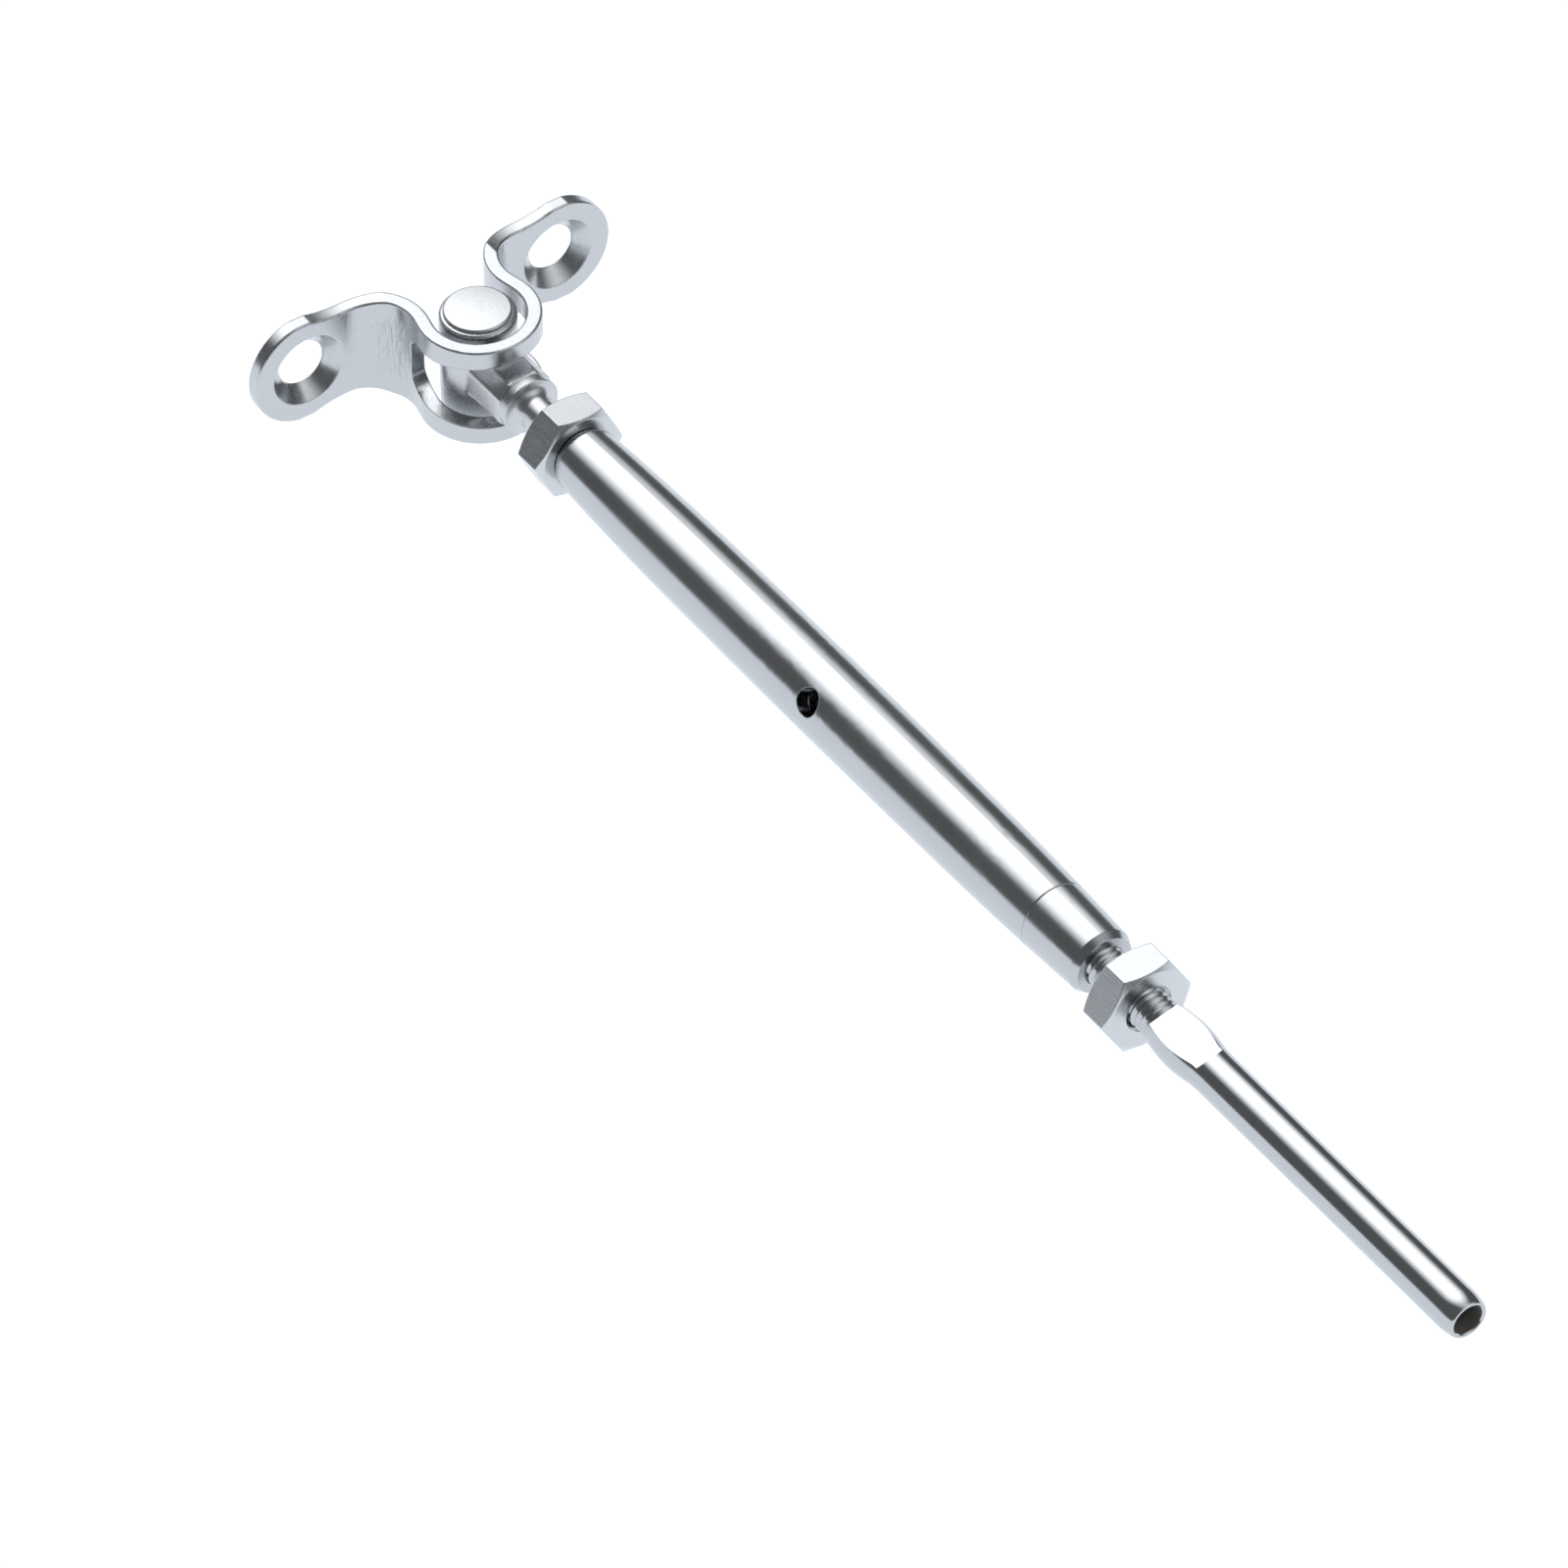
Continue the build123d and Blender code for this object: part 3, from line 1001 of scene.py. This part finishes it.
middle = (cad_box[0] + cad_box[1]) / 2
floor_shape = bmesh.new()
bmesh.ops.create_grid(floor_shape, x_segments=1, y_segments=1, size=FLOOR_HALF_SIZE)
floor_place = (FLOOR_MIDDLE_X, 0, cad_box[0].z - FLOOR_GAP)
bmesh.ops.translate(floor_shape, verts=floor_shape.verts, vec=floor_place)
floor = new_object("floor", floor_shape)
floor_material, tree = new_material("white_acrylic_sheet")
place = add_node(tree, "ShaderNodeTexCoord")
from_middle = add_node(
    tree,
    "ShaderNodeVectorMath",
    {0: place.outputs["Object"], 1: middle},
    operation="DISTANCE",
)
glow = add_node(
    tree,
    "ShaderNodeMapRange",
    {
        "Value": from_middle.outputs["Value"],
        "From Min": GLOW_FULL,
        "From Max": GLOW_FADED,
        "To Min": 1.0,
        "To Max": GLOW_LEFT,
    },
    interpolation_type="SMOOTHSTEP",
)
floor_shader = add_node(
    tree,
    "ShaderNodeBsdfPrincipled",
    {
        "Base Color": linear("404244"),
        "Roughness": 0.6,
        "Specular IOR Level": 0.0,
        "Emission Color": (1.0, 1.05, 1.12, 1.0),
        "Emission Strength": glow.outputs["Result"],
    },
)
finish_material(floor_material, tree, floor_shader)
floor.data.materials.append(floor_material)

# %% [markdown]
# The room is described by direction instead of being built. Angles are measured from the middle
# of each soft light to the direction that is looked up, and the brightness falls off evenly with
# that angle. Two such lights are added to a dim room: a large one above the back of the bracket,
# and a weaker one above the swage. Lamps could do the same, but a shape that fades this softly
# towards its rim is easier to give in angles.

# %% World
MAIN_SIDE = Vector((-0.594, 0.098, 0.798)).normalized()
FILL_SIDE = Vector((0.60, 0.40, 0.69)).normalized()
MAIN_RADIANCE = 1.9
FILL_RADIANCE = 0.9
ROOM = 0.13

world = bpy.data.worlds.new("studio")
bpy.context.scene.world = world
world.use_nodes = True
tree = world.node_tree
tree.nodes.clear()
look = add_node(tree, "ShaderNodeTexCoord")


def soft_light(direction, full_degrees, none_degrees, radiance):
    """Add nodes for a light that is even near its middle and fades out further away."""
    cosine = add_node(
        tree,
        "ShaderNodeVectorMath",
        {0: look.outputs["Generated"], 1: direction},
        operation="DOT_PRODUCT",
    )
    angle = add_node(tree, "ShaderNodeMath", {0: cosine.outputs["Value"]}, operation="ARCCOSINE")
    return add_node(
        tree,
        "ShaderNodeMapRange",
        {
            "Value": angle.outputs["Value"],
            "From Min": math.radians(full_degrees),
            "From Max": math.radians(none_degrees),
            "To Min": radiance,
            "To Max": 0.0,
        },
    )


main_light = soft_light(MAIN_SIDE, full_degrees=18, none_degrees=40, radiance=MAIN_RADIANCE)
fill_light = soft_light(FILL_SIDE, full_degrees=8, none_degrees=40, radiance=FILL_RADIANCE)
both = add_node(
    tree,
    "ShaderNodeMath",
    {0: main_light.outputs["Result"], 1: fill_light.outputs["Result"]},
    operation="ADD",
)
with_room = add_node(tree, "ShaderNodeMath", {0: both.outputs["Value"], 1: ROOM}, operation="ADD")
sky = add_node(
    tree,
    "ShaderNodeBackground",
    {"Color": (0.98, 1.0, 1.02, 1.0), "Strength": with_room.outputs["Value"]},
)
add_node(tree, "ShaderNodeOutputWorld", {"Surface": sky.outputs["Background"]})
print("main light", MAIN_RADIANCE, "fill light", FILL_RADIANCE, "room", ROOM)

# %% [markdown]
# One faint lamp stands in the middle of the main light. It adds little light of its own, but a
# real softbox has an edge, and this one gives the highlights something to sharpen on.

# %% Overhead softbox
SOFTBOX_WIDTH = 0.7
SOFTBOX_ENERGY = 0.3
SOFTBOX_DISTANCE = 1.6

lamp = bpy.data.lights.new("overhead_softbox", "AREA")
lamp.shape = "DISK"
lamp.size = SOFTBOX_WIDTH
lamp.energy = SOFTBOX_ENERGY
lamp_holder = bpy.data.objects.new("overhead_softbox", lamp)
bpy.context.scene.collection.objects.link(lamp_holder)
lamp_turn = MAIN_SIDE.to_track_quat("Z", "Y").to_matrix().to_4x4()
lamp_holder.matrix_world = Matrix.Translation(middle + MAIN_SIDE * SOFTBOX_DISTANCE) @ lamp_turn
print("overhead softbox at", [round(value, 2) for value in lamp_holder.matrix_world.translation])

# %% [markdown]
# A long lens more than a metre away keeps the tube's sides nearly parallel. The camera is turned
# by three angles: how far round, how far up, and a slight roll. A camera looks along its own -Z
# axis, so the three columns of its matrix are its right, its up and the direction behind it.

# %% Camera
AZIMUTH = math.radians(55.46)
ELEVATION = math.radians(43.87)
ROLL = math.radians(-0.60)
LENS = 283.2
SENSOR_WIDTH = 36
NEAREST = 0.05
FARTHEST = 20
CAMERA_PLACE = Vector((1.0562, -0.6689, 1.1100))

back_x = math.sin(AZIMUTH) * math.cos(ELEVATION)
back_y = -math.cos(AZIMUTH) * math.cos(ELEVATION)
back = Vector((back_x, back_y, math.sin(ELEVATION)))
right = Vector((math.cos(AZIMUTH), math.sin(AZIMUTH), 0))
up = back.cross(right)
tilted_right = right * math.cos(ROLL) + up * math.sin(ROLL)
tilted_up = up * math.cos(ROLL) - right * math.sin(ROLL)
camera_turn = Matrix((tilted_right, tilted_up, back)).transposed().to_4x4()
camera_data = bpy.data.cameras.new("camera")
camera_data.sensor_width = SENSOR_WIDTH
camera_data.lens = LENS
camera_data.clip_start = NEAREST
camera_data.clip_end = FARTHEST
camera = bpy.data.objects.new("camera", camera_data)
bpy.context.scene.collection.objects.link(camera)
camera.matrix_world = Matrix.Translation(CAMERA_PLACE) @ camera_turn
bpy.context.scene.camera = camera
bpy.context.scene.view_settings.view_transform = "Standard"
print("camera looks from", [round(value, 3) for value in CAMERA_PLACE])
